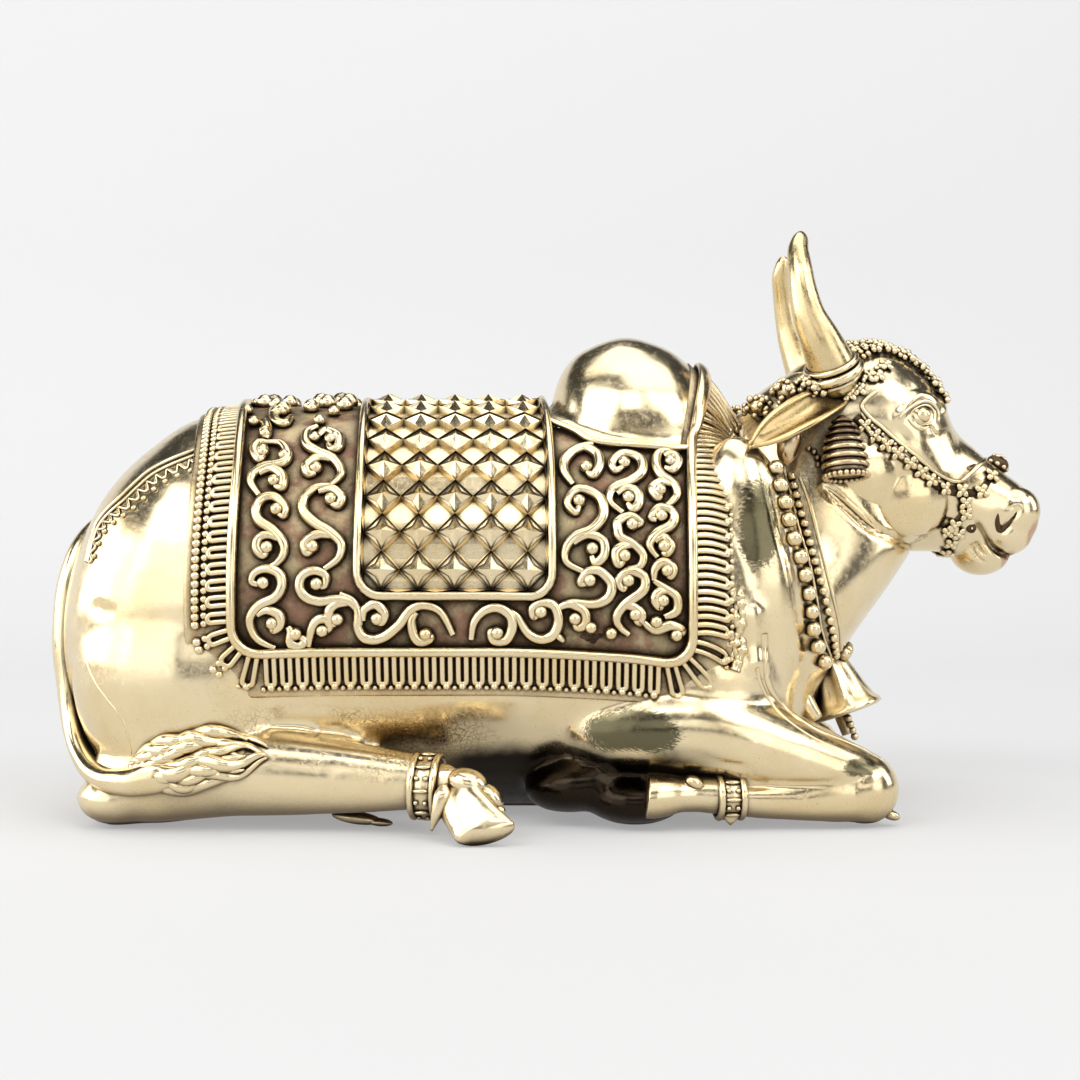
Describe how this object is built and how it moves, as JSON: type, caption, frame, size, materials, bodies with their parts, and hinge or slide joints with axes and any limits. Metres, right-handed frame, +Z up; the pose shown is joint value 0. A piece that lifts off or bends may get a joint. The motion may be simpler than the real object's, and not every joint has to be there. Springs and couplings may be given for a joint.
{
  "type": "nandi bull figure",
  "caption": "Resting nandi bull cast in brass, with a fringed saddle cloth, halter, necklaces, bells and anklets.",
  "frame": {"origin": "middle of the bounding box in plan, on the ground the bull lies on", "axes": "+X towards the bull's head, +Z up, the bull's right side on -Y"},
  "size_m": [0.1874, 0.0922, 0.1074],
  "materials": {
    "brass": "polished pale brass with dark patina left in the recesses of the carving"
  },
  "bodies": {
    "root": {"nandi_bull": "brass"}
  },
  "joints": []
}
